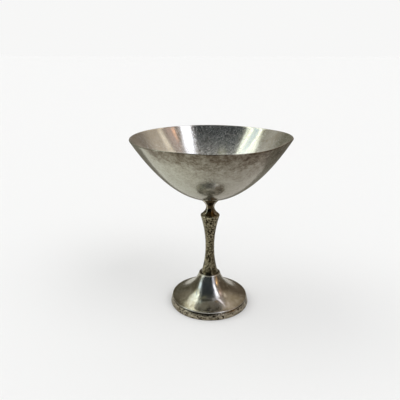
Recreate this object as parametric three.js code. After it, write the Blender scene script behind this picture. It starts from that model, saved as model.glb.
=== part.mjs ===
// A stemmed cup trophy: a spun bowl on a turned neck, a cast stem and a spun trumpet foot with
// a textured band, drawn together by one tie rod whose nut is hidden inside the foot.
// Millimetres, +Z up. The origin is the centre of the circle that the foot stands on.

import * as THREE from "three";

// ---- driving dimensions --------------------------------------------------------------------

const seatGap = 0.1; // left between two faces that seat on each other
const boreClearance = 0.3; // between the tie rod and each bore that it passes through
const lipClearance = 0.25; // between the stem's end and the lip of the foot around it
const largeFacets = 56; // sides of the bowl, the foot and its band
const smallFacets = 36; // sides of the neck, the stem and what is inside them

const bowl = {
  rimRadius: 56, // at the outer edge of the rim
  depth: 43.8, // from the lowest point outside up to the rim's outer edge
  wall: 0.9,
};
const seatDisc = {
  overhang: 0.4, // past the neck's flange
  thickness: 0.5, // at the centre
};
const neck = {
  height: 10.8,
  flangeRadius: 5.9,
  flangeEdge: 0.5, // height of the flange's straight edge
  waistRadius: 3,
  waistHeight: 5.3, // above the neck's lower face
  shoulderRadius: 6.5,
  flare: 1.9, // exponent of the curve on both sides of the waist
  crown: 2.6, // solid metal above the hole for the tie rod
};
const stem = {
  length: 47.3,
  shoulderWidth: 0.45, // how far the stem's top stands out past the neck's shoulder
  topRound: 0.45,
  waistRadius: 3.22,
  waistHeight: 21.9, // above the stem's lower face
  footRadius: 6.5,
  topFlare: 2,
  footFlare: 2.15,
};
const foot = {
  seatHeight: 23.6, // the face that the stem stands on
  seatThickness: 0.9,
  lipHeight: 0.6, // above that face, around the stem's end
  lipWidth: 1.2,
  edgeRadius: 28.35,
  wall: 0.9,
  flareRadius: 28, // of the arc from the lip out to the edge
};
const band = {
  height: 4.8,
  setBack: 0.1, // of its top from the foot's edge
  spread: 1.3, // how much wider it is near the face that it stands on
  footRound: 0.4, // where the side turns under to that face
  thickness: 1.7,
};
const tieRod = { radius: 2, belowNut: 2.2, chamfer: 0.4 };
const washer = {
  throatClearance: 1.5, // between its edge and the foot's throat around it
  thickness: 0.9,
};
const lockWasher = { radius: 3.8, thickness: 0.9, slotDegrees: 12 };
const nut = { acrossFlats: 7, height: 3.2 };

// ---- heights and radii that follow from them -----------------------------------------------

const stemFoot = foot.seatHeight + seatGap;
const stemTop = stemFoot + stem.length;
const stemTopRadius = neck.shoulderRadius + stem.shoulderWidth;
const neckFoot = stemTop + seatGap;
const neckTop = neckFoot + neck.height;
const neckHoleTop = neckTop - neck.crown;
const discFoot = neckTop + seatGap;
const discRadius = neck.flangeRadius + seatDisc.overhang;
const bowlFoot = discFoot + seatDisc.thickness + seatGap;
const boreRadius = tieRod.radius + boreClearance;
const lipInside = stem.footRadius + lipClearance;
const lipTop = foot.seatHeight + foot.lipHeight;
const seatUnderside = foot.seatHeight - foot.seatThickness;
const washerTop = seatUnderside - seatGap;
const lockWasherTop = washerTop - washer.thickness - seatGap;
const nutTop = lockWasherTop - lockWasher.thickness - seatGap;
const rodFoot = nutTop - nut.height - tieRod.belowNut;
const rodTop = neckHoleTop - boreClearance;

// ---- materials -----------------------------------------------------------------------------

const metal = (color, roughness) =>
  new THREE.MeshStandardMaterial({ color, roughness, metalness: 1 });

const polishedSilver = metal(0xc9c5ba, 0.2);
const texturedSilver = metal(0x8d8370, 0.45);
const wornSilver = metal(0x7a6748, 0.3);
const bareBrass = metal(0x8a6a3c, 0.4);
const zincSteel = metal(0xa8abae, 0.35);

// ---- profiles and solids -------------------------------------------------------------------

const point = (radius, height) => new THREE.Vector2(radius, height);

// A list of count + 1 numbers from start to end, evenly spaced.
const spaced = (start, end, count) =>
  Array.from({ length: count + 1 }, (_, i) => start + ((end - start) * i) / count);

// Points on an arc about a centre, with angles in radians from the radial direction.
const arc = (centre, radius, start, end, count) =>
  spaced(start, end, count).map((angle) =>
    point(centre.x + radius * Math.cos(angle), centre.y + radius * Math.sin(angle)),
  );

// Points of a side that widens from a waist to an end as a power of the way between them.
const flaredSide = (waist, end, exponent, count) =>
  spaced(0, 1, count).map((t) =>
    point(waist.x + (end.x - waist.x) * t ** exponent, waist.y + (end.y - waist.y) * t),
  );

// Turns a profile about Z. It runs anticlockwise, with the radius to the right and Z up, from
// the axis back to the axis.
function turned(profile, facets) {
  return new THREE.LatheGeometry(profile, facets).rotateX(Math.PI / 2);
}

// Turns a profile that stays off the axis, and closes it on itself.
function turnedRing(profile, facets) {
  return turned([...profile, profile[0].clone()], facets);
}

// Extrudes a flat outline up to a top face at a given height.
function raised(outline, thickness, top) {
  const settings = { depth: thickness, bevelEnabled: false, curveSegments: smallFacets / 2 };
  return new THREE.ExtrudeGeometry(outline, settings).translate(0, 0, top - thickness);
}

function named(name, geometry, material) {
  const mesh = new THREE.Mesh(geometry, material);
  mesh.name = name;
  return mesh;
}

// ---- bowl, its seat and the neck -----------------------------------------------------------

// The bowl's outside is a parabola: its height above its lowest point, and its slope there.
const bowlRise = (radius) => bowl.depth * (radius / bowl.rimRadius) ** 2;
const bowlSlope = (radius) => Math.atan((2 * bowl.depth * radius) / bowl.rimRadius ** 2);

// A point of the bowl's wall, a distance inwards from its outside.
function bowlWallPoint(radius, inwards) {
  const slope = bowlSlope(radius);
  return point(
    radius - inwards * Math.sin(slope),
    bowlFoot + bowlRise(radius) + inwards * Math.cos(slope),
  );
}

function makeBowl() {
  const radii = spaced(0, bowl.rimRadius, 11);
  const outside = radii.map((radius) => bowlWallPoint(radius, 0));
  const inside = radii.map((radius) => bowlWallPoint(radius, bowl.wall)).reverse();
  const rimSlope = bowlSlope(bowl.rimRadius);
  const rimCentre = bowlWallPoint(bowl.rimRadius, bowl.wall / 2);
  const quarter = Math.PI / 2;
  const rimRound = arc(rimCentre, bowl.wall / 2, rimSlope - quarter, rimSlope + quarter, 4);
  return turned([...outside, ...rimRound.slice(1, -1), ...inside], largeFacets);
}

// A disc between the neck and the bowl, dished on top to fit the bowl's underside.
function makeSeatDisc() {
  const dish = spaced(discRadius, 0, 4).map((radius) =>
    point(radius, bowlFoot + bowlRise(radius) - seatGap),
  );
  return turned([point(0, discFoot), point(discRadius, discFoot), ...dish], smallFacets);
}

function makeNeck() {
  const waist = point(neck.waistRadius, neckFoot + neck.waistHeight);
  const shoulder = point(neck.shoulderRadius, neckFoot);
  const flange = point(neck.flangeRadius, neckTop - neck.flangeEdge);
  return turned(
    [
      point(0, neckHoleTop),
      point(boreRadius, neckHoleTop),
      point(boreRadius, neckFoot),
      ...flaredSide(waist, shoulder, neck.flare, 6).reverse(),
      ...flaredSide(waist, flange, neck.flare, 6).slice(1),
      point(neck.flangeRadius, neckTop),
      point(0, neckTop),
    ],
    smallFacets,
  );
}

// ---- stem ----------------------------------------------------------------------------------

function makeStem() {
  const waist = point(stem.waistRadius, stemFoot + stem.waistHeight);
  const end = point(stem.footRadius, stemFoot);
  const shoulder = point(stemTopRadius, stemTop - stem.topRound);
  const roundCentre = point(stemTopRadius - stem.topRound, shoulder.y);
  return turnedRing(
    [
      point(boreRadius, stemFoot),
      ...flaredSide(waist, end, stem.footFlare, 7).reverse(),
      ...flaredSide(waist, shoulder, stem.topFlare, 7).slice(1),
      ...arc(roundCentre, stem.topRound, 0, Math.PI / 2, 3).slice(1),
      point(boreRadius, stemTop),
    ],
    smallFacets,
  );
}

// ---- foot and its band ---------------------------------------------------------------------

const lipRound = foot.lipWidth / 2;
const lipCentre = point(lipInside + lipRound, lipTop - lipRound);
const edgeRound = foot.wall / 2;
const edgeCentre = point(foot.edgeRadius - edgeRound, band.height + seatGap + edgeRound);

// The flare is an arc from the outside of the lip, its throat, to the top of the edge.
const throat = point(lipCentre.x + lipRound, lipCentre.y);
const flareEnd = point(edgeCentre.x, edgeCentre.y + edgeRound);
const flareCentre = arcCentre(throat, flareEnd, foot.flareRadius);

// The flare's underside has the same centre, one wall further from it, and runs up to the
// underside of the seat.
const undersideRadius = foot.flareRadius + foot.wall;
const undersideAngle = Math.PI + Math.asin((flareCentre.y - seatUnderside) / undersideRadius);
const throatInside = flareCentre.x + undersideRadius * Math.cos(undersideAngle);

// The centre of an arc of a given radius through two points, on the side away from the axis.
function arcCentre(from, to, radius) {
  const along = to.clone().sub(from);
  const half = along.length() / 2;
  const away = point(-along.y, along.x).normalize();
  const middle = from.clone().addScaledVector(along, 0.5);
  return middle.addScaledVector(away, Math.sqrt(radius ** 2 - half ** 2));
}

// The direction from the flare's centre to a point, as an angle between 0 and a full turn.
function flareAngle(target) {
  const fullTurn = 2 * Math.PI;
  const angle = Math.atan2(target.y - flareCentre.y, target.x - flareCentre.x);
  return (angle + fullTurn) % fullTurn;
}

function makeFoot() {
  const endAngle = flareAngle(flareEnd);
  return turnedRing(
    [
      point(boreRadius, seatUnderside),
      ...arc(flareCentre, undersideRadius, undersideAngle, endAngle, 9),
      ...arc(edgeCentre, edgeRound, -Math.PI / 2, Math.PI / 2, 4).slice(0, -1),
      ...arc(flareCentre, foot.flareRadius, endAngle, flareAngle(throat), 10),
      ...arc(lipCentre, lipRound, 0, Math.PI, 4).slice(1),
      point(lipInside, foot.seatHeight),
      point(boreRadius, foot.seatHeight),
    ],
    largeFacets,
  );
}

// A strip under the foot's edge, which the cup stands on.
function makeBand() {
  const topRadius = foot.edgeRadius - band.setBack;
  const wideRadius = topRadius + band.spread;
  const insideRadius = topRadius - band.thickness;
  const roundCentre = point(wideRadius - band.footRound, band.footRound);
  const side = flaredSide(point(topRadius, band.height), point(wideRadius, band.footRound), 0.7, 4);
  return turnedRing(
    [
      point(insideRadius, 0),
      ...arc(roundCentre, band.footRound, -Math.PI / 2, 0, 3),
      ...side.reverse().slice(1),
      point(insideRadius, band.height),
    ],
    largeFacets,
  );
}

// ---- tie rod, washers and nut --------------------------------------------------------------

function makeTieRod() {
  const endRadius = tieRod.radius - tieRod.chamfer;
  return turned(
    [
      point(0, rodFoot),
      point(endRadius, rodFoot),
      point(tieRod.radius, rodFoot + tieRod.chamfer),
      point(tieRod.radius, rodTop - tieRod.chamfer),
      point(endRadius, rodTop),
      point(0, rodTop),
    ],
    smallFacets,
  );
}

function makeFlatWasher() {
  const radius = throatInside - washer.throatClearance;
  const washerFoot = washerTop - washer.thickness;
  return turnedRing(
    [
      point(boreRadius, washerFoot),
      point(radius, washerFoot),
      point(radius, washerTop),
      point(boreRadius, washerTop),
    ],
    smallFacets,
  );
}

// A split spring washer, pressed flat.
function makeLockWasher() {
  const slot = THREE.MathUtils.degToRad(lockWasher.slotDegrees) / 2;
  const outline = new THREE.Shape();
  outline.absarc(0, 0, lockWasher.radius, slot, 2 * Math.PI - slot, false);
  outline.absarc(0, 0, boreRadius, 2 * Math.PI - slot, slot, true);
  return raised(outline, lockWasher.thickness, lockWasherTop);
}

function makeNut() {
  const cornerRadius = nut.acrossFlats / Math.sqrt(3);
  const outline = new THREE.Shape(arc(point(0, 0), cornerRadius, 0, (5 * Math.PI) / 3, 5));
  outline.holes.push(new THREE.Path().absarc(0, 0, boreRadius, 0, 2 * Math.PI, true));
  return raised(outline, nut.height, nutTop);
}

// ---- assembly ------------------------------------------------------------------------------

const trophy = new THREE.Group();
trophy.add(
  named("bowl", makeBowl(), polishedSilver),
  named("bowl_seat_disc", makeSeatDisc(), wornSilver),
  named("neck", makeNeck(), wornSilver),
  named("stem", makeStem(), texturedSilver),
  named("foot", makeFoot(), polishedSilver),
  named("foot_band", makeBand(), texturedSilver),
  named("tie_rod", makeTieRod(), bareBrass),
  named("flat_washer", makeFlatWasher(), zincSteel),
  named("lock_washer", makeLockWasher(), zincSteel),
  named("hex_nut", makeNut(), bareBrass),
);

export default trophy;
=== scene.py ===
import itertools
import math

import bpy
import numpy as np
from mathutils import Euler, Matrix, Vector


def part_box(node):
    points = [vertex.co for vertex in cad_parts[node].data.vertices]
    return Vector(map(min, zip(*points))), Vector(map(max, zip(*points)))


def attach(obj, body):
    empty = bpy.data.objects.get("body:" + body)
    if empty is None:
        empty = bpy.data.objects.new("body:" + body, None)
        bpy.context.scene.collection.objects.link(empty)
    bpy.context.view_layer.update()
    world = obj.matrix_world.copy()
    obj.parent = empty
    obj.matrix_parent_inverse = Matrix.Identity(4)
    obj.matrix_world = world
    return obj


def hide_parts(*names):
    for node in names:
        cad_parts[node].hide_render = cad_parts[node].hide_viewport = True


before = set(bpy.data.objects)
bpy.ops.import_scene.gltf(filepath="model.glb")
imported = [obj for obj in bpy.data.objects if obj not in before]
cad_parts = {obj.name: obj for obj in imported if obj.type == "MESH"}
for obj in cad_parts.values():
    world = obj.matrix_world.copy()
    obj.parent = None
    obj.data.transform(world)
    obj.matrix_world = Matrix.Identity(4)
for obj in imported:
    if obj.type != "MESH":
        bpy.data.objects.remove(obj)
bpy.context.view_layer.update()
mm = 0.001


def boxOf(node):  # a CAD node's lowest and highest corners, in millimetres
    low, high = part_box(node)
    return np.array(low) / mm, np.array(high) / mm


# Surfaces. A profile is an array of (radius, height) rows in millimetres. It runs anticlockwise
# with the radius to the right, so that the solid is on its left and its outside on its right.


def spaced(start, end, count):
    return np.linspace(start, end, count + 1)


def arcPoints(centre, radius, startDegrees, endDegrees, count):
    # A point is the centre plus the radius times (cos angle, sin angle).
    angle = np.radians(spaced(startDegrees, endDegrees, count))
    return np.stack([centre[0] + radius * np.cos(angle), centre[1] + radius * np.sin(angle)], axis=1)


def linePoints(start, end, count):
    # Even steps from start to end.
    share = spaced(0, 1, count)[:, None]
    return np.array(start) * (1 - share) + np.array(end) * share


def flarePoints(waist, end, power, count):
    # The radius widens from the waist to the end as a power of the way between them.
    share = spaced(0, 1, count)
    radius = waist[0] + (end[0] - waist[0]) * share**power
    return np.stack([radius, waist[1] + (end[1] - waist[1]) * share], axis=1)


def joined(*stretches):
    # One profile from several, without the points that repeat where two stretches meet.
    rows = np.concatenate([np.atleast_2d(s) for s in stretches])
    apart = np.linalg.norm(np.diff(rows, axis=0), axis=1) > 1e-6
    return rows[np.concatenate([[True], apart])]


def profileNormals(profile, closed):
    # The profile's direction turned a quarter to the right: (height step, minus radius step).
    if closed:
        step = np.roll(profile, -1, axis=0) - np.roll(profile, 1, axis=0)
    else:
        step = np.gradient(profile, axis=0)
    normal = np.stack([step[:, 1], -step[:, 0]], axis=1)
    return normal / np.linalg.norm(normal, axis=1, keepdims=True)


def turnedGrid(profile, sides, closed=False, relief=None):
    # A point is (radius cos turn, radius sin turn, height). The relief is a function of these
    # points that gives a distance in millimetres, and each point moves that far outwards.
    turn = np.arange(sides) * 2 * np.pi / sides
    around = np.stack([np.cos(turn), np.sin(turn), np.zeros(sides)], axis=1)
    up = np.array([0.0, 0.0, 1.0])
    places = profile[:, None, :1] * around + profile[:, None, 1:] * up
    if relief is None:
        return places
    normal = profileNormals(profile, closed)
    outwards = normal[:, None, :1] * around + normal[:, None, 1:] * up
    return places + relief(places)[..., None] * outwards


def gridFaces(rows, sides, closed):
    # Quads between neighbouring rows, each row running round and meeting itself.
    row = np.arange(rows if closed else rows - 1)[:, None]
    side = np.arange(sides)[None, :]
    nextRow = (row + 1) % rows
    nextSide = (side + 1) % sides
    corners = [
        row * sides + side,
        row * sides + nextSide,
        nextRow * sides + nextSide,
        nextRow * sides + side,
    ]
    return np.stack([np.broadcast_to(c, (len(row), sides)) for c in corners], axis=-1).reshape(-1, 4)


def fanFaces(pole, firstOfRow, sides, flipped):
    # Triangles from a pole to each edge of a row.
    side = np.arange(sides)
    a = firstOfRow + side
    b = firstOfRow + (side + 1) % sides
    if flipped:
        a, b = b, a
    return np.stack([np.full(sides, pole), a, b], axis=1)


def addPiece(name, points, faces, attributes=None, crispDegrees=40):
    mesh = bpy.data.meshes.new(name)
    mesh.from_pydata((points * mm).tolist(), [], faces)
    for label, values in (attributes or {}).items():
        mesh.attributes.new(label, "FLOAT", "POINT").data.foreach_set("value", values)
    mesh.polygons.foreach_set("use_smooth", np.ones(len(mesh.polygons), dtype=bool))
    mesh.set_sharp_from_angle(angle=math.radians(crispDegrees))
    mesh.update()
    piece = bpy.data.objects.new(name, mesh)
    bpy.context.scene.collection.objects.link(piece)
    return piece


def turnedPiece(name, profile, sides, closed=False, relief=None, marks=None):
    # Rows on the axis become single poles. marks gives further attributes as functions of the
    # grid's points before the relief moves them.
    smooth = turnedGrid(profile, sides, closed)
    moved = turnedGrid(profile, sides, closed, relief)
    attributes = {label: mark(smooth) for label, mark in (marks or {}).items()}
    if relief is not None:
        attributes["relief"] = relief(smooth)
    if closed:
        points = moved.reshape(-1, 3)
        faces = gridFaces(len(profile), sides, True).tolist()
        values = {label: v.ravel() for label, v in attributes.items()}
        return addPiece(name, points, faces, values)
    rows = moved[1:-1]
    points = np.concatenate([rows.reshape(-1, 3), moved[:1, 0], moved[-1:, 0]])
    count = rows.shape[0] * sides
    faces = gridFaces(rows.shape[0], sides, False).tolist()
    faces += fanFaces(count, 0, sides, True).tolist()
    faces += fanFaces(count + 1, count - sides, sides, False).tolist()
    values = {
        label: np.concatenate([v[1:-1].ravel(), v[:1, 0], v[-1:, 0]])
        for label, v in attributes.items()
    }
    return addPiece(name, points, faces, values)


# Relief. Places are in millimetres, and each function works on whole arrays of them.


def smoothStep(values, low, high):
    share = np.clip((values - low) / (high - low), 0, 1)
    return share * share * (3 - 2 * share)


def softNoise(places, size, seed):
    # Random numbers from 0 to 1 at the corners of cubes of this size, blended between the
    # corners by a smooth step along each axis.
    numbers = np.random.default_rng(seed).random((48, 48, 48))
    grid = places / size
    cell = np.floor(grid).astype(int)
    share = grid - cell
    share = share * share * (3 - 2 * share)
    total = np.zeros(places.shape[:-1])
    for corner in itertools.product((0, 1), repeat=3):
        at = np.moveaxis((cell + corner) % 48, -1, 0)
        weight = np.prod(np.where(np.array(corner) == 1, share, 1 - share), axis=-1)
        total += weight * numbers[tuple(at)]
    return total


def cellNoise(places, size, seed):
    # The distance, in cubes of this size, to the nearest of points scattered one to a cube.
    scatter = np.random.default_rng(seed).random((24, 24, 24, 3))
    grid = places / size
    cell = np.floor(grid).astype(int)
    nearest = np.full(places.shape[:-1], 2.0)
    for step in itertools.product((-1, 0, 1), repeat=3):
        other = cell + step
        centre = other + scatter[tuple(np.moveaxis(other % 24, -1, 0))]
        nearest = np.minimum(nearest, np.linalg.norm(grid - centre, axis=-1))
    return nearest


# Materials. A Wire wraps an output socket, so that sums on it add Math nodes to its graph.


class Wire:
    def __init__(self, graph, socket):
        self.graph = graph
        self.socket = socket

    def __add__(self, other):
        return self.graph.math("ADD", self, other)

    __radd__ = __add__

    def __sub__(self, other):
        return self.graph.math("SUBTRACT", self, other)

    def __rsub__(self, other):
        return self.graph.math("SUBTRACT", other, self)

    def __mul__(self, other):
        return self.graph.math("MULTIPLY", self, other)

    __rmul__ = __mul__

    def __truediv__(self, other):
        return self.graph.math("DIVIDE", self, other)


class Graph:
    def __init__(self, owner):
        owner.use_nodes = True
        self.tree = owner.node_tree
        self.tree.nodes.clear()

    def pick(self, sockets, key):  # by number, identifier or name
        if isinstance(key, int):
            return sockets[key]
        return next((s for s in sockets if s.identifier == key), None) or sockets[key]

    def node(self, kind, settings=None, sockets=None, out=0):
        made = self.tree.nodes.new(kind)
        for key, value in (settings or {}).items():
            if key == "stops":
                ramp = made.color_ramp.elements
                while len(ramp) < len(value):
                    ramp.new(0.5)
                for element, (place, colour) in zip(ramp, value):
                    element.position = place
                    element.color = (*colour, 1)
            else:
                setattr(made, key, value)
        for key, value in (sockets or {}).items():
            socket = self.pick(made.inputs, key)
            if isinstance(value, Wire):
                self.tree.links.new(value.socket, socket)
            elif socket.type == "RGBA" and len(value) == 3:
                socket.default_value = (*value, 1)
            else:
                socket.default_value = value
        return Wire(self, self.pick(made.outputs, out)) if len(made.outputs) else made

    def math(self, operation, *values):
        return self.node("ShaderNodeMath", {"operation": operation}, dict(enumerate(values)))

    def scaled(self, vector, factor):
        settings = {"operation": "SCALE"}
        return self.node("ShaderNodeVectorMath", settings, {"Vector": vector, "Scale": factor})

    def place(self):  # where a point of the piece is, in millimetres
        return self.scaled(self.node("ShaderNodeTexCoord", out="Object"), 1 / mm)

    def parts(self, vector):
        split = self.node("ShaderNodeSeparateXYZ", None, {0: vector}).socket.node
        return [Wire(self, output) for output in split.outputs]

    def joined(self, x, y, z):
        return self.node("ShaderNodeCombineXYZ", None, {0: x, 1: y, 2: z})

    def noise(self, vector, size, detail=3.0, roughness=0.5, distortion=0.0):
        values = {"Vector": vector, "Scale": 1 / size, "Detail": detail}
        values |= {"Roughness": roughness, "Distortion": distortion}
        return self.node("ShaderNodeTexNoise", None, values)

    def step(self, value, low, high):  # rises smoothly from 0 at low to 1 at high
        sockets = {"Value": value, "From Min": low, "From Max": high}
        return self.node("ShaderNodeMapRange", {"interpolation_type": "SMOOTHSTEP"}, sockets)

    def ramp(self, value, stops):
        return self.node("ShaderNodeValToRGB", {"stops": stops}, {"Fac": value}, "Color")

    def mix(self, factor, first, second, blend="MIX"):
        settings = {"data_type": "RGBA", "blend_type": blend}
        sockets = {"Factor_Float": factor, "A_Color": first, "B_Color": second}
        return self.node("ShaderNodeMix", settings, sockets, out="Result_Color")

    def attribute(self, label):
        return self.node("ShaderNodeAttribute", {"attribute_name": label}, out="Fac")

    def bump(self, height, strength, distance):
        sockets = {"Height": height, "Strength": strength, "Distance": distance}
        return self.node("ShaderNodeBump", None, sockets)

    def metal(self, colour, roughness, normal, metallic=1.0):
        sockets = {"Base Color": colour, "Metallic": metallic, "Roughness": roughness}
        shader = self.node("ShaderNodeBsdfPrincipled", None, sockets | {"Normal": normal})
        self.node("ShaderNodeOutputMaterial", None, {"Surface": shader})


def newFinish(name):
    finish = bpy.data.materials.new(name)
    return finish, Graph(finish)


def scratches(graph, place, size, turns):
    # Thin lines where stretched noise passes one level, in each of the given directions.
    halfWidth = 0.015  # of the noise's own range
    total = 0
    for number, (across, tilt) in enumerate(turns):
        settings = {"vector_type": "TEXTURE"}
        sockets = {
            "Vector": place,
            "Rotation": (tilt, across, across * 1.7),
            "Scale": (size * 14, size, size * 3),
            "Location": (3.1 * number, 1.7 * number, 0),
        }
        stretched = graph.node("ShaderNodeMapping", settings, sockets)
        level = graph.noise(stretched, 1.0, 1.0)
        offset = graph.math("ABSOLUTE", level - 0.5)
        total = total + graph.step(offset, halfWidth, 0.0)
    return total


def finish(piece, material, slot, node):
    piece.data.materials.append(material)
    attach(piece, "root")
    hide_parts(node)


# Bowl: a parabola of revolution, spun from sheet.

bowl = {
    "depth": 43.8,
    "wall": 0.9,
    "rimOverhang": 0.06,  # of the rounded rim past the parabola
    "sides": 288,
    "steps": 110,
    "rimSteps": 10,
    "rimBends": [(-113, 20, 0.45), (-30, 19, 1.7), (2, 30, 1.3)],  # degrees from +X, width, lift
    "waver": 0.05,  # of the sheet from the true shape
    "waverSize": 11,
    "paintedReflectionSide": (-0.87, -0.5),  # the way the side faces where a narrow upright streak is painted paler, a painted reflection
    "stainLow": 100,  # the brown stain thickens from this height
    "stainRise": 14,  # and starts this much higher towards the side of the painted reflection
    "gritLow": 115,
    "stainTop": 126,
    "bottomShade": (100, 88),  # the outside darkens a little from the first height to the second
    "hazeRadii": (55, 32),  # the inside grows hazy from the first to the second
    "outside": [
        (0.1, (0.075, 0.055, 0.036)),
        (0.3, (0.18, 0.152, 0.112)),
        (0.5, (0.335, 0.315, 0.258)),
        (0.72, (0.455, 0.445, 0.38)),
    ],
    "inside": [(0.3, (0.62, 0.58, 0.50)), (0.5, (0.76, 0.75, 0.71)), (0.68, (0.83, 0.83, 0.81))],
}
bowlLow, bowlHigh = boxOf("bowl")
bowlFoot = bowlLow[2]
bowlRadius = bowlHigh[0] - bowl["rimOverhang"]


def bowlRows(inwards):
    # Height is depth times (radius / rim radius) squared, moved inwards along the wall's normal.
    # The power of 0.9 sets the rows a little closer towards the rim.
    radius = bowlRadius * spaced(0, 1, bowl["steps"]) ** 0.9
    slope = np.arctan(2 * bowl["depth"] * radius / bowlRadius**2)
    height = bowlFoot + bowl["depth"] * (radius / bowlRadius) ** 2
    return np.stack([radius - inwards * np.sin(slope), height + inwards * np.cos(slope)], axis=1)


def bowlProfile():
    rimSlope = math.degrees(math.atan(2 * bowl["depth"] / bowlRadius))
    middle = bowlRows(bowl["wall"] / 2)[-1]
    rim = arcPoints(middle, bowl["wall"] / 2, rimSlope - 90, rimSlope + 90, bowl["rimSteps"])
    return joined(bowlRows(0), rim, bowlRows(bowl["wall"])[::-1])


def bentRim(points):
    # Lifts the wall by bell curves of the turn that grow with a power of the radius.
    x, y, z = np.moveaxis(points, -1, 0)
    reach = (np.hypot(x, y) / bowlRadius) ** 5
    turn = np.degrees(np.arctan2(y, x))
    lift = sum(up * np.exp(-(((turn - at) / wide) ** 2)) for at, wide, up in bowl["rimBends"])
    return z + lift * reach


def makeBowl():
    profile = bowlProfile()
    rimMiddle = bowl["steps"] + bowl["rimSteps"] / 2
    inner = smoothStep(np.arange(len(profile)), rimMiddle - 2, rimMiddle + 2)

    def waver(places):
        size = bowl["waverSize"]
        wave = softNoise(places * [1, 1, 0.6], size, 4) + 0.15 * softNoise(places, size / 3, 5) - 0.575
        return bowl["waver"] * wave * np.where(inner > 0.5, -1, 1)[:, None]

    marks = {"inner": lambda places: np.broadcast_to(inner[:, None], places.shape[:-1])}
    piece = turnedPiece("bowlShell", profile, bowl["sides"], relief=waver, marks=marks)
    points = np.empty(len(piece.data.vertices) * 3)
    piece.data.vertices.foreach_get("co", points)
    points = points.reshape(-1, 3) / mm
    points[:, 2] = bentRim(points)
    piece.data.vertices.foreach_set("co", (points * mm).ravel())
    piece.data.update()
    return piece


def makeBowlFinish():
    material, g = newFinish("agedSilverPlate")
    place = g.place()
    x, y, z = g.parts(place)
    radius = g.math("SQRT", x * x + y * y)
    inner = g.attribute("inner")
    cloud = g.noise(place, 17.0, 4.0, 0.55, 0.6)
    blotch = g.noise(place, 5.0, 5.0, 0.66, 0.4)
    mottle = g.noise(place, 1.8, 3.0, 0.6)
    grit = g.noise(place, 0.9, 3.0, 0.7)
    spots = g.step(g.noise(place, 0.75, 2.0), 0.66, 0.76)
    # The outside: mottled, with brown stains that thicken towards the rim.
    stain = g.step(g.noise(g.joined(x, y, z * 1.3), 5.0, 8.0, 0.8), 0.42, 0.6)
    # A narrow upright streak on one side is painted paler by thinning the stain there: a painted
    # reflection.
    facingX, facingY = bowl["paintedReflectionSide"]
    side = (x * facingX + y * facingY) / radius
    paler = g.step(side, 0.95, 0.99)
    lowest = bowl["stainLow"] + g.step(side, 0.6, 0.93) * bowl["stainRise"]
    under = g.step(z, lowest, bowl["stainTop"]) * (0.42 + stain * 0.58) * (1 - paler * 0.8)
    under = under * (1 + g.step(x / radius, 0.1, 0.7) * 0.3)
    speckled = 0.25 + g.step(grit, 0.46, 0.6) * 0.75
    edge = g.step(z, bowl["gritLow"], bowl["stainTop"]) * speckled * (1 - paler * 0.8)
    bottom = g.step(z, *bowl["bottomShade"])
    tone = cloud * 0.35 + blotch * 0.4 + mottle * 0.5 + grit * 0.3
    tone = tone - 0.14 - under * 0.36 - edge * 0.17 - spots * 0.1 - bottom * 0.2
    outer = g.ramp(tone, bowl["outside"])
    # The inside: polished, hazy and scoured towards the bottom.
    ageing = cloud * 0.5 + blotch * 0.35 + mottle * 0.15
    inside = g.ramp(ageing, bowl["inside"])
    lines = scratches(g, place, 0.8, [(0.3, 0.2), (1.2, 0.5), (2.1, -0.3)])
    deep = g.step(radius, *bowl["hazeRadii"])
    haze = deep * (0.45 + g.step(mottle, 0.4, 0.62) * 0.55)
    outerRough = 0.08 + blotch * 0.06 + under * 0.12
    innerRough = 0.04 + haze * 0.15 + blotch * 0.05 + lines * 0.12 + spots * 0.14
    roughness = outerRough * (1 - inner) + innerRough * inner
    film = 0.975 - haze * 0.35 - spots * 0.3 - lines * 0.26
    metallic = 0.85 * (1 - inner) + film * inner
    colour = g.mix(inner, outer, inside)
    rings = g.noise(g.joined(x * 0.05, y * 0.05, radius * 2.2), 1.0, 2.0)
    relief = rings * 0.3 + mottle * (1 - inner) * 0.8 - lines * 0.25 - spots * 0.2
    g.metal(colour, roughness, g.bump(relief, 0.3, 0.06 * mm), metallic)
    return material


# Disc: stiffens the thin bowl where it is soldered to the neck.

disc = {"thickness": 0.5, "edgeRound": 0.15, "fillet": 0.35, "sides": 128}
discLow, discHigh = boxOf("bowl_seat_disc")


def discProfile():
    # The top follows the bowl's parabola, and a fillet leads to it.
    radius, foot = discHigh[0], discLow[2]
    top = foot + disc["thickness"]
    edgeRound = disc["edgeRound"]
    under = linePoints((0, foot), (radius - edgeRound, foot), 12)
    side = arcPoints((radius - edgeRound, foot + edgeRound), edgeRound, -90, 0, 5)
    reach = spaced(radius + disc["fillet"], 0, 40)
    height = top + bowl["depth"] * (reach / bowlRadius) ** 2
    fillet = arcPoints((radius + disc["fillet"], top), disc["fillet"], 180, 110, 6)
    return joined(under, side, fillet, np.stack([reach, height], axis=1))


# Neck: turned, with a flange above and a cone below.

neck = {
    "flangeRadius": 5.9,
    "flangeEdge": 0.5,
    "lip": 0.1,  # straight, below the cone
    "edgeRound": 0.12,
    "waistRadius": 3.0,
    "waistHeight": 5.3,
    "shoulderRadius": 6.1,
    "flare": 1.9,
    "bore": 2.3,
    "crown": 2.6,
    "sides": 160,
    "amberTop": 74.5,  # height
    "plate": [(0.12, 0.09, 0.05), (0.58, 0.53, 0.42)],
    # Tarnish colours, which also paint the neck's front dark as a painted reflection.
    "tarnishAndPaintedReflection": [(0.012, 0.007, 0.002), (0.075, 0.05, 0.022)],
    "amber": (0.20, 0.105, 0.026),
}
neckLow, neckHigh = boxOf("neck")


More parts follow.
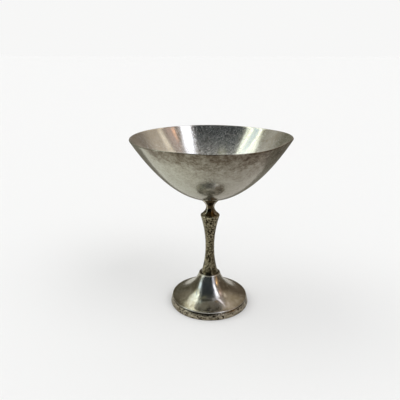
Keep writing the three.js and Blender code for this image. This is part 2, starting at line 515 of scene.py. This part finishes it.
def neckProfile():
    under, top = neckLow[2], neckHigh[2]
    bore, edgeRound = neck["bore"], neck["edgeRound"]
    shoulderRadius, flangeRadius = neck["shoulderRadius"], neck["flangeRadius"]
    waist = (neck["waistRadius"], under + neck["waistHeight"])
    holeTop = top - neck["crown"]
    lower = flarePoints(waist, (shoulderRadius, under + neck["lip"]), neck["flare"], 50)
    upper = flarePoints(waist, (flangeRadius, top - neck["flangeEdge"]), neck["flare"], 50)
    return joined(
        linePoints((0, holeTop), (bore, holeTop), 6),
        linePoints((bore, holeTop), (bore, under), 16),
        linePoints((bore, under), (shoulderRadius, under), 10),
        lower[::-1],
        upper,
        arcPoints((flangeRadius - edgeRound, top - edgeRound), edgeRound, 0, 90, 4),
        linePoints((flangeRadius - edgeRound, top), (0, top), 10),
    )


def neckRelief(places):
    # Fine turning marks with a little wear.
    return 0.02 * (softNoise(places * [0.2, 0.2, 1.0], 0.35, 8) - 0.5) + 0.03 * softNoise(places, 2, 9)


def makeNeckFinish():
    material, g = newFinish("wornPlateOnBrass")
    place = g.place()
    x, y, z = g.parts(place)
    radius = g.math("SQRT", x * x + y * y)
    grime = g.noise(place, 0.8, 3.0, 0.65)
    patch = g.noise(place, 3.0, 3.0, 0.6)
    rings = g.noise(g.joined(x * 0.1, y * 0.1, z * 3.0), 1.0, 2.0)
    # The front of the neck is painted dark, a painted reflection of the dark room before it; dark dirt
    # patches share this mask.
    front = g.step((x * 0.04 - y) / radius, 0.66, 0.88)
    dirtAndPaintedReflection = g.math("MAXIMUM", front, g.step(patch, 0.5, 0.62) * 0.6) * 0.97
    plate = g.mix(g.step(grime, 0.34, 0.56), *neck["plate"])
    low = g.step(z, neck["amberTop"], neck["amberTop"] - 1.5)
    amber = g.step((x * 0.36 - y * 0.93) / radius, 0.95, 0.99) * low
    tarnishAndPaintedReflection = g.mix(amber, g.mix(grime, *neck["tarnishAndPaintedReflection"]), neck["amber"])
    colour = g.mix(dirtAndPaintedReflection, plate, tarnishAndPaintedReflection)
    roughness = 0.08 + grime * 0.12
    g.metal(colour, roughness, g.bump(rings * 0.5 + grime, 0.3, 0.08 * mm))
    return material


# Stem: cast, with a surface like bark that runs out near its foot.

stem = {
    "waistRadius": 3.22,
    "waistHeight": 21.9,
    "footRadius": 6.5,
    "topRadius": 6.95,
    "topRound": 0.95,
    "topFlare": 2.0,
    "footFlare": 2.15,
    "bore": 2.3,
    "sides": 252,
    "pebble": 0.82,
    "depth": 0.15,
    "smoothFoot": (25.5, 31.0),  # heights between which the bark grows to its full depth
    "pits": (0.006, 0.004, 0.002),
    "middle": (0.08, 0.065, 0.037),
    "tops": (0.45, 0.405, 0.28),
}
stemLow, stemHigh = boxOf("stem")


def stemProfile():
    under, top = stemLow[2], stemHigh[2]
    bore, topRound = stem["bore"], stem["topRound"]
    waist = (stem["waistRadius"], under + stem["waistHeight"])
    lower = flarePoints(waist, (stem["footRadius"], under), stem["footFlare"], 120)
    shoulder = (stem["topRadius"], top - topRound)
    upper = flarePoints(waist, shoulder, stem["topFlare"], 150)
    flatRadius = stem["topRadius"] - topRound
    return joined(
        linePoints((bore, under), (stem["footRadius"], under), 8),
        lower[::-1],
        upper,
        arcPoints((flatRadius, shoulder[1]), topRound, 0, 90, 8),
        linePoints((flatRadius, top), (bore, top), 8),
        linePoints((bore, top), (bore, under), 24),
    )


def stemBark(places):
    # Rounded pebbles from the distance to scattered points, in two sizes, with pits where soft
    # noise is low. It fades out at the foot, at the shoulder and in the bore.
    x, y, z = np.moveaxis(places, -1, 0)
    long = places * [1, 1, 0.72]
    large = 1 - cellNoise(long, stem["pebble"], 21) ** 2
    small = 1 - cellNoise(long, stem["pebble"] * 0.55, 22) ** 2
    pits = smoothStep(softNoise(places, 0.7, 23), 0.4, 0.2)
    height = 0.62 * large + 0.3 * small - 0.75 * pits - 0.35
    low, high = stem["smoothFoot"]
    reach = smoothStep(z, low, high) * smoothStep(z, stemHigh[2] - 0.25, stemHigh[2] - 1.2)
    outside = smoothStep(np.hypot(x, y), stem["bore"] + 0.1, stem["bore"] + 0.4)
    return stem["depth"] * height * (0.12 + 0.88 * reach) * outside


def makeBarkFinish(name, piece):
    # Dark in the pits and pale on the high spots, from the piece's own relief. The stem's shoulder is
    # paler, and its plain lower end is smoother.
    material, g = newFinish(name)
    place = g.place()
    height = g.attribute("relief") / piece["depth"]
    fleck = g.noise(place, 0.45, 2.0, 0.7)
    grain = g.noise(place, 0.95, 3.0, 0.65)
    patch = g.noise(place, 4.5, 3.0, 0.6)
    z = g.parts(place)[2]
    paler = g.step(z, stemHigh[2] - 1.8, stemHigh[2] - 0.5)
    smooth = g.step(z, stemLow[2] + 10, stemLow[2] + 2) * g.step(z, stemLow[2] - 10, stemLow[2] - 5)
    tone = height * 0.7 + grain * 0.75 + fleck * 0.5 + patch * 0.5 - 0.49
    tone = tone + paler * 0.3 + smooth * 0.08
    colour = g.ramp(tone, [(0.16, piece["pits"]), (0.48, piece["middle"]), (0.84, piece["tops"])])
    roughness = 0.24 - g.step(height, -0.1, 0.5) * 0.1 + grain * 0.08 - smooth * 0.1
    g.metal(colour, roughness, g.bump(grain + patch * 0.5, 0.35, 0.08 * mm))
    return material


# Foot: a spun trumpet with a lip around the stem's end.

foot = {
    "seatDrop": 0.6,  # the seat below the top of the lip
    "seatThickness": 0.9,
    "lipInside": 6.75,
    "lipWidth": 1.2,
    "wall": 0.9,
    "flareRadius": 28.0,
    "bore": 2.3,
    "sides": 288,
    "insideSteps": 90,
    "edgeSteps": 12,
    "seatSteps": 10,
    "waver": 0.03,
    "plate": [(0.2, (0.34, 0.305, 0.245)), (0.4, (0.62, 0.59, 0.52)), (0.55, (0.80, 0.79, 0.765))],
    "flankShade": (0.54, 0.52, 0.475),
    "frontShade": (0.62, 0.62, 0.61),
    "underside": [(0.20, 0.155, 0.095), (0.42, 0.36, 0.27)],
}
footLow, footHigh = boxOf("foot")


def footProfile():
    edgeRadius, edgeFoot = footHigh[0], footLow[2]
    lipTop = footHigh[2]
    seat = lipTop - foot["seatDrop"]
    under = seat - foot["seatThickness"]
    lipRound = foot["lipWidth"] / 2
    lipCentre = np.array([foot["lipInside"] + lipRound, lipTop - lipRound])
    edgeRound = foot["wall"] / 2
    edgeCentre = np.array([edgeRadius - edgeRound, edgeFoot + edgeRound])
    throat = lipCentre + [lipRound, 0]
    flareEnd = edgeCentre + [0, edgeRound]
    # The flare is an arc through both, with its centre on the side away from the axis.
    along = flareEnd - throat
    half = np.linalg.norm(along) / 2
    away = np.array([-along[1], along[0]]) / (2 * half)
    centre = (throat + flareEnd) / 2 + away * math.sqrt(foot["flareRadius"] ** 2 - half**2)

    def angleTo(point):
        return math.degrees(math.atan2(point[1] - centre[1], point[0] - centre[0])) % 360

    outer = foot["flareRadius"]
    inner = outer + foot["wall"]
    underAngle = 180 + math.degrees(math.asin((centre[1] - under) / inner))
    flareInside = arcPoints(centre, inner, underAngle, angleTo(flareEnd), foot["insideSteps"])
    lipInside, bore = foot["lipInside"], foot["bore"]
    return joined(
        linePoints((bore, under), flareInside[0], foot["seatSteps"]),
        flareInside,
        arcPoints(edgeCentre, edgeRound, -90, 90, foot["edgeSteps"]),
        arcPoints(centre, outer, angleTo(flareEnd), angleTo(throat), 120),
        arcPoints(lipCentre, lipRound, 0, 180, 14),
        linePoints((lipInside, lipTop - lipRound), (lipInside, seat), 3),
        linePoints((lipInside, seat), (bore, seat), foot["seatSteps"]),
        linePoints((bore, seat), (bore, under), 4),
    )


def makeFoot():
    def waver(places):
        wave = softNoise(places, 7, 31) + 0.3 * softNoise(places, 2.5, 32) - 0.65
        return foot["waver"] * wave

    profile = footProfile()
    under = np.zeros(len(profile))
    under[: foot["seatSteps"] + foot["insideSteps"] + foot["edgeSteps"] // 2] = 1
    marks = {"under": lambda places: np.broadcast_to(under[:, None], places.shape[:-1])}
    return turnedPiece("trumpetFoot", profile, foot["sides"], True, waver, marks)


def makeFootFinish():
    material, g = newFinish("polishedSilverPlate")
    place = g.place()
    x, y, _ = g.parts(place)
    radius = g.math("SQRT", x * x + y * y)
    under = g.attribute("under")
    cloud = g.noise(place, 9.0, 4.0, 0.55, 0.5)
    blotch = g.noise(place, 2.6, 4.0, 0.6)
    flank = g.step(g.math("ABSOLUTE", x) / radius, 0.45, 0.8)
    # The flare is painted darker towards its outer edge, a painted dark reflection.
    edge = g.step(radius, 24.5, 27.5) * g.step(radius, 28.3, 27.9)
    tone = cloud * 0.6 + blotch * 0.4 - flank * 0.08 - edge * 0.08
    outer = g.mix(flank, g.ramp(tone, foot["plate"]), foot["flankShade"], "MULTIPLY")
    front = g.step(y / radius, -0.90, -0.97) * g.step(radius, 9, 15) * g.step(radius, 28, 26.5)
    outer = g.mix(front, outer, foot["frontShade"], "MULTIPLY")
    colour = g.mix(under, outer, g.mix(cloud, *foot["underside"]))
    lines = scratches(g, place, 0.9, [(0.6, 0.1), (1.5, -0.4), (2.6, 0.3)])
    roughness = 0.03 + blotch * 0.06 + flank * 0.06 + lines * 0.12 + under * 0.2
    rings = g.noise(g.joined(x * 0.05, y * 0.05, radius * 2.5), 1.0, 2.0)
    relief = rings * (0.3 + under * 1.5) - lines * 0.6
    g.metal(colour, roughness, g.bump(relief, 0.25, 0.06 * mm), 1 - lines * 0.15)
    return material


# Band: the textured strip under the foot's edge.

band = {
    "thickness": 1.7,
    "footRound": 0.4,
    "topRound": 0.15,
    "spread": 1.3,
    "sides": 800,
    "pebble": 0.75,
    "depth": 0.14,
    "pits": (0.02, 0.014, 0.009),
    "middle": (0.19, 0.16, 0.115),
    "tops": (0.62, 0.57, 0.46),
}
bandHigh = boxOf("foot_band")[1]


def bandProfile():
    wide, top = bandHigh[0], bandHigh[2]
    footRound, topRound = band["footRound"], band["topRound"]
    topRadius = wide - band["spread"]
    inside = topRadius - band["thickness"]
    side = flarePoints((topRadius, top - topRound), (wide, footRound), 0.7, 28)[::-1]
    return joined(
        linePoints((inside, 0), (wide - footRound, 0), 5),
        arcPoints((wide - footRound, footRound), footRound, -90, 0, 5),
        side,
        arcPoints((topRadius - topRound, top - topRound), topRound, 0, 90, 3),
        linePoints((topRadius - topRound, top), (inside, top), 4),
        linePoints((inside, top), (inside, 0), 6),
    )


def bandPebbles(places):
    # Pebbles as on the stem, only on the side that shows.
    x, y, z = np.moveaxis(places, -1, 0)
    large = 1 - cellNoise(places, band["pebble"], 41) ** 2
    small = 1 - cellNoise(places, band["pebble"] * 0.5, 42) ** 2
    pits = smoothStep(softNoise(places, 0.7, 43), 0.4, 0.2)
    height = 0.6 * large + 0.3 * small - 0.7 * pits - 0.35
    reach = smoothStep(z, 0.05, 0.6) * smoothStep(z, bandHigh[2] - 0.05, bandHigh[2] - 0.6)
    outside = smoothStep(np.hypot(x, y), bandHigh[0] - 2.2, bandHigh[0] - 1.6)
    return band["depth"] * height * reach * outside


# Fastenings inside the foot.

rod = {"radius": 2.0, "thread": 0.3, "pitch": 0.7, "chamfer": 0.4, "sides": 64, "threadEnd": 11}
rodLow, rodHigh = boxOf("tie_rod")


def rodProfile():
    low, high = rodLow[2], rodHigh[2]
    radius, chamfer = rod["radius"], rod["chamfer"]
    end = radius - chamfer
    return joined(
        linePoints((0, low), (end, low), 5),
        linePoints((end, low), (radius, low + chamfer), 4),
        linePoints((radius, low + chamfer), (radius, high - chamfer), 520),
        linePoints((radius, high - chamfer), (end, high), 4),
        linePoints((end, high), (0, high), 5),
    )


def threadCut(places, low, high, length):
    # A triangle wave of the height less the turn, so that the groove climbs one pitch a turn.
    # It is cut over this length from each end.
    x, y, z = np.moveaxis(places, -1, 0)
    phase = z / rod["pitch"] - np.arctan2(y, x) / (2 * np.pi)
    groove = np.abs(phase - np.floor(phase) - 0.5) * 2
    atFoot = smoothStep(z, low + length + 0.5, low + length)
    atTop = smoothStep(z, high - length - 0.5, high - length)
    return -rod["thread"] * groove * np.clip(atFoot + atTop, 0, 1)


def rodThread(places):
    # The thread stays off the rod's flat ends.
    cut = threadCut(places, rodLow[2], rodHigh[2], rod["threadEnd"])
    radius = np.hypot(places[..., 0], places[..., 1])
    return cut * (radius > rod["radius"] - rod["chamfer"] * 0.6)


washer = {"bore": 2.3, "round": 0.12, "sides": 128}


def washerProfile(node, bore, rounding):
    low, high = boxOf(node)
    radius, under, top = high[0], low[2], high[2]
    return joined(
        linePoints((bore, under), (radius - rounding, under), 8),
        arcPoints((radius - rounding, under + rounding), rounding, -90, 0, 4),
        arcPoints((radius - rounding, top - rounding), rounding, 0, 90, 4),
        linePoints((radius - rounding, top), (bore, top), 8),
        linePoints((bore, top), (bore, under), 3)[:-1],
    )


lockWasher = {"bore": 2.3, "slotDegrees": 12, "sides": 96, "spring": 0.05}


def makeLockWasher():
    # A rounded section carried round most of a circle, rising a little from end to end.
    section = washerProfile("lock_washer", lockWasher["bore"], washer["round"])
    half = math.radians(lockWasher["slotDegrees"] / 2)
    turn = spaced(half, 2 * np.pi - half, lockWasher["sides"])
    rise = lockWasher["spring"] * (turn / np.pi - 1)
    radius, height = section[:, :1], section[:, 1:]
    grid = np.stack([radius * np.cos(turn), radius * np.sin(turn), height + rise], axis=-1)
    rows, columns = grid.shape[:2]
    row = np.arange(rows)[:, None]
    column = np.arange(columns - 1)[None, :]
    nextRow = (row + 1) % rows
    corners = [row * columns + column, row * columns + column + 1]
    corners += [nextRow * columns + column + 1, nextRow * columns + column]
    faces = np.stack([np.broadcast_to(c, (rows, columns - 1)) for c in corners], axis=-1)
    ends = [(np.arange(rows) * columns).tolist(), (np.arange(rows)[::-1] * columns + columns - 1).tolist()]
    return addPiece("springWasher", grid.reshape(-1, 3), faces.reshape(-1, 4).tolist() + ends)


nut = {
    "acrossFlats": 7.0,
    "bore": 2.08,
    "thread": 0.25,
    "cornerCut": 0.075,  # of the cone inside the flats, at each face
    "cornerDegrees": 60,
    "sides": 216,
    "steps": 26,
}


def makeNut():
    # The outside's radius is half the width over the cosine of the turn from the nearest flat,
    # held in by a cone near both faces that takes the corners off.
    low, high = boxOf("hex_nut")
    under, top = low[2], high[2]
    turn = np.arange(nut["sides"]) * 2 * np.pi / nut["sides"]
    fromFlat = (turn % (np.pi / 3)) - np.pi / 6
    flat = nut["acrossFlats"] / 2
    hexagon = flat / np.cos(fromFlat)
    height = spaced(under, top, nut["steps"])
    depth = np.minimum(height - under, top - height)[:, None]
    cone = flat - nut["cornerCut"] + depth * math.tan(math.radians(nut["cornerDegrees"]))
    side = np.minimum(hexagon, cone)
    share = spaced(0, 1, 8)[:, None]
    lowFace = nut["bore"] + (side[:1] - nut["bore"]) * share
    highFace = nut["bore"] + (side[-1:] - nut["bore"]) * share[::-1]
    boreHeight = spaced(top, under, 60)[1:-1]
    phase = boreHeight[:, None] / rod["pitch"] - turn / (2 * np.pi)
    groove = np.abs(phase - np.floor(phase) - 0.5) * 2
    boreSide = nut["bore"] + nut["thread"] * (1 - groove)
    radius = np.concatenate([lowFace[:-1], side, highFace[1:], boreSide])
    heights = np.concatenate([np.full(8, under), height, np.full(8, top), boreHeight])
    heights = heights[:, None] * np.ones(nut["sides"])
    grid = np.stack([radius * np.cos(turn), radius * np.sin(turn), heights], axis=-1)
    faces = gridFaces(grid.shape[0], nut["sides"], True).tolist()
    return addPiece("hexNut", grid.reshape(-1, 3), faces, crispDegrees=25)


bareMetals = {  # dark colour, light colour, roughness
    "agedBrass": ((0.22, 0.13, 0.045), (0.56, 0.38, 0.15), 0.28),
    "dullZinc": ((0.26, 0.26, 0.25), (0.52, 0.53, 0.54), 0.32),
}


def makeBareMetal(name):
    # Clouded, with fine turning marks.
    dark, light, rough = bareMetals[name]
    material, g = newFinish(name)
    place = g.place()
    x, y, z = g.parts(place)
    radius = g.math("SQRT", x * x + y * y)
    cloud = g.noise(place, 2.2, 4.0, 0.6)
    marks = g.noise(g.joined(x * 0.1, y * 0.1, (radius + z) * 4.0), 1.0, 2.0)
    colour = g.mix(g.step(cloud + marks * 0.2, 0.4, 0.75), dark, light)
    roughness = rough + cloud * 0.15
    g.metal(colour, roughness, g.bump(marks + cloud, 0.3, 0.05 * mm))
    return material


# Build.

finish(makeBowl(), makeBowlFinish(), "polished_plate", "bowl")
print("bowl made")
neckFinish = makeNeckFinish()
finish(turnedPiece("bowlSeat", discProfile(), disc["sides"]), neckFinish, "worn_plate", "bowl_seat_disc")
neckPiece = turnedPiece("turnedNeck", neckProfile(), neck["sides"], relief=neckRelief)
finish(neckPiece, neckFinish, "worn_plate", "neck")
print("neck and its seat made")
stemPiece = turnedPiece("barkStem", stemProfile(), stem["sides"], True, stemBark)
finish(stemPiece, makeBarkFinish("barkSilver", stem), "textured_plate", "stem")
print("stem made")
finish(makeFoot(), makeFootFinish(), "polished_plate", "foot")
bandPiece = turnedPiece("pebbledBand", bandProfile(), band["sides"], True, bandPebbles)
finish(bandPiece, makeBarkFinish("pebbledBrassSilver", band), "textured_plate", "foot_band")
print("foot and band made")
brass = makeBareMetal("agedBrass")
zinc = makeBareMetal("dullZinc")
rodPiece = turnedPiece("threadedRod", rodProfile(), rod["sides"], relief=rodThread)
finish(rodPiece, brass, "bare_brass", "tie_rod")
flatProfile = washerProfile("flat_washer", washer["bore"], washer["round"])
flatWasher = turnedPiece("flatWasher", flatProfile, washer["sides"], True)
finish(flatWasher, zinc, "zinc_steel", "flat_washer")
finish(makeLockWasher(), zinc, "zinc_steel", "lock_washer")
finish(makeNut(), brass, "bare_brass", "hex_nut")
print("rod, washers and nut made")


# Stage: a pale floor, two soft lights over it, and the dim room that the metal reflects.

stage = {
    "floorHalf": 30.0,  # metres
    "floorDrop": 0.00005,  # below the foot, so that the two never share a plane
    "floorTone": 0.86,
    "backdrop": (0.93, 0.93, 0.925),
    "fill": 0.804,
    "tableEdges": [(0.095, -0.12), (0.193, -0.93)],  # metres behind the cup, and slope
    "beyond": (0.19, 0.178, 0.146),  # the floor's reflected colour past the table's edge
    # The floor's reflected colour near the cup, painted lighter on the left and darker on the right: a
    # painted pool of light.
    "leftTone": (0.92, 0.93, 0.86),
    "rightTone": (0.64, 0.61, 0.58),
    "frontShade": 0.82,
}
room = {
    "dim": [(0.10, 0.096, 0.066), (0.125, 0.098, 0.072)],  # to the left, and to the right
    "lit": [(0.215, 0.205, 0.155), (0.27, 0.225, 0.18)],
    "ceiling": (0.085, 0.09, 0.078),
    "front": (0.020, 0.026, 0.029),
}


def makeFloor():
    half = stage["floorHalf"]
    mesh = bpy.data.meshes.new("floor")
    corners = [(-half, -half), (half, -half), (half, half), (-half, half)]
    mesh.from_pydata([(x, y, -stage["floorDrop"]) for x, y in corners], [], [(0, 1, 2, 3)])
    floor = bpy.data.objects.new("floor", mesh)
    bpy.context.scene.collection.objects.link(floor)
    material, g = newFinish("paleFloor")
    x, y, _ = g.parts(g.node("ShaderNodeTexCoord", out="Object"))
    edges = [x * slope + start for start, slope in stage["tableEdges"]]
    past = y - g.math("MINIMUM", *edges)
    tone = stage["floorTone"]
    # Near the cup the floor, as the metal reflects it, is painted brighter on the left and darker on the
    # right: a painted pool of light.
    near = g.mix(g.step(x, -0.09, 0.08), stage["leftTone"], stage["rightTone"])
    shade = g.step(y, -0.02, -0.08)
    near = g.mix(shade, near, [stage["frontShade"]] * 3, "MULTIPLY")
    mirrored = g.mix(g.step(past, -0.004, 0.006), near, stage["beyond"])
    isGloss = g.node("ShaderNodeLightPath", out="Is Glossy Ray")
    colour = g.mix(isGloss, (tone, tone, tone * 0.995), mirrored)
    sockets = {"Base Color": colour, "Roughness": 0.9, "Specular IOR Level": 0.0}
    shader = g.node("ShaderNodeBsdfPrincipled", None, sockets)
    g.node("ShaderNodeOutputMaterial", None, {"Surface": shader})
    mesh.materials.append(material)


# Soft suns light the floor: bearing from the front towards +X, elevation, strength, spread.
suns = {"rightSun": (57, 52, 0.62, 42), "leftSun": (-98, 50, 0.5, 48)}


def makeSun(name, bearing, elevation, strength, spread):
    turn, rise = math.radians(bearing), math.radians(elevation)
    level = math.cos(rise)
    towards = Vector((math.sin(turn) * level, -math.cos(turn) * level, math.sin(rise)))
    data = bpy.data.lights.new(name, "SUN")
    data.energy = strength
    data.angle = math.radians(spread)
    light = bpy.data.objects.new(name, data)
    light.rotation_euler = (-towards).to_track_quat("-Z", "Y").to_euler()
    light.visible_glossy = False
    bpy.context.scene.collection.objects.link(light)


# What the metal reflects, each a soft patch: bearing, elevation, half width and half height in
# degrees, slant, bend, softness and colour.
patches = [
    # Walls at both sides and behind.
    (135, 53, 44, 11, 0, -0.006, 0.7, (0.50, 0.42, 0.33)),
    (134, 42, 50, 24, 0, 0, 0.9, (0.68, 0.59, 0.47)),
    (103, 43, 8, 10, 0, 0, 0.7, (1.0, 0.88, 0.71)),
    (-132, 32, 38, 20, 0, 0, 0.9, (0.38, 0.36, 0.3)),
    (-45, 69, 30, 7, 0, 0, 0.8, (0.36, 0.37, 0.25)),
    (-138, 58, 46, 12, 0, -0.004, 0.4, (1.2, 1.2, 0.98)),
    # A bright window on the left, with a blue middle and two brighter lines.
    (-78, 26, 13, 22, 0.1, 0, 0.5, (1.1, 1.3, 1.36)),
    (-104, 53, 26, 16, 0, -0.004, 0.25, (1.4, 1.46, 1.26)),
    (-90, 48, 18, 14, 0, 0, 0.2, (1.3, 1.4, 1.22)),
    (-91, 44, 6, 10, 0.3, 0, 0.5, (0.64, 0.8, 0.86)),
    (-82, 48, 2, 13, 0.3, 0, 0.8, (2.6, 2.6, 2.0)),
    (-99, 41, 2, 12, 0.3, 0, 0.8, (2.6, 2.6, 1.9)),
    (-72, 4, 26, 7, 0, 0, 0.6, (1.3, 1.4, 1.3)),
    # Pale bands high on the right, and dim patches under them.
    (98, 69, 60, 7, 0, -0.0022, 0.6, (1.4, 1.34, 1.42)),
    (95, 75, 42, 2.5, 0, -0.002, 0.8, (0.95, 0.72, 0.66)),
    (84, 43, 10, 16, 0.15, 0, 0.5, (0.46, 0.35, 0.30)),
    (93, 42, 4, 15, 0.15, 0, 0.6, (0.30, 0.235, 0.19)),
    # A bright window at the front right.
    (37, 24, 13, 20, 0.3, 0, 0.6, (0.80, 0.83, 1.0)),
    (64, 58, 17, 10, 0.6, 0, 0.5, (1.42, 1.43, 1.56)),
    (43, 41, 11, 14, 0.7, 0, 0.4, (2.0, 2.05, 2.3)),
    (54, 54, 13, 12, 0.5, 0, 0.3, (2.1, 2.15, 2.4)),
    (35, 5, 14, 7, 0, 0, 0.6, (1.4, 1.4, 1.45)),
    # Orange glows on the right.
    (77, 46, 5, 6, 0.3, 0, 0.8, (1.3, 0.78, 0.52)),
    (65, 22, 14, 13, 0, 0, 0.8, (0.50, 0.33, 0.17)),
    (62, 22, 4, 8, 0.3, 0, 0.8, (2.9, 1.8, 0.7)),
    (72, 12, 4, 10, 0.4, 0, 0.8, (1.4, 0.72, 0.25)),
]


def makeRoom():
    world = bpy.data.worlds.new("room")
    bpy.context.scene.world = world
    g = Graph(world)
    towards = g.node("ShaderNodeTexCoord", out="Generated")
    x, y, z = g.parts(towards)
    bearing = g.math("ARCTAN2", x, y * -1.0) * (180 / math.pi)
    elevation = g.math("ARCSINE", z) * (180 / math.pi)
    clutter = g.noise(towards, 0.16, 4.0, 0.6)
    rightwards = g.step(bearing, -30, 60)
    walls = g.mix(clutter, g.mix(rightwards, *room["dim"]), g.mix(rightwards, *room["lit"]))
    walls = g.mix(g.step(elevation, 60, 74), walls, room["ceiling"])
    front = g.step(bearing, -76, -67) * g.step(bearing, 45, 35) * g.step(elevation, 80, 60)
    walls = g.mix(front, walls, room["front"])
    for at, up, wide, tall, slant, bend, soft, colour in patches:
        across = (bearing - at - (elevation - up) * slant) / wide
        off = bearing - at
        upwards = (elevation - up - off * off * bend) / tall
        apart = g.math("SQRT", across * across + upwards * upwards)
        walls = g.mix(g.step(apart, 1.0, 1.0 - soft), walls, colour)
    path = "ShaderNodeLightPath"
    fill = stage["fill"]
    seen = g.mix(g.node(path, out="Is Diffuse Ray"), walls, (fill, fill, fill))
    seen = g.mix(g.node(path, out="Is Camera Ray"), seen, stage["backdrop"])
    shine = g.node("ShaderNodeBackground", None, {"Color": seen, "Strength": 1.0})
    g.node("ShaderNodeOutputWorld", None, {"Surface": shine})


makeFloor()
for sunName, values in suns.items():
    makeSun(sunName, *values)
makeRoom()
print("stage and lights made")

# Metres and degrees, and the lens in millimetres.
camera = {"back": 0.3044, "height": 0.1823, "lookDown": 18.33, "turn": 1.40, "roll": 0.12, "lens": 39.9}


def makeCamera():
    data = bpy.data.cameras.new("camera")
    data.sensor_width = 36
    data.lens = camera["lens"]
    data.clip_start = 0.01
    data.clip_end = 200
    seer = bpy.data.objects.new("camera", data)
    seer.location = (0, -camera["back"], camera["height"])
    tilt = math.radians(90 - camera["lookDown"])
    aim = Euler((tilt, 0, math.radians(camera["turn"]))).to_matrix()
    roll = Euler((0, 0, math.radians(camera["roll"]))).to_matrix()
    seer.rotation_euler = (aim @ roll).to_euler()
    bpy.context.scene.collection.objects.link(seer)
    bpy.context.scene.camera = seer


makeCamera()
bpy.context.scene.view_settings.view_transform = "Standard"
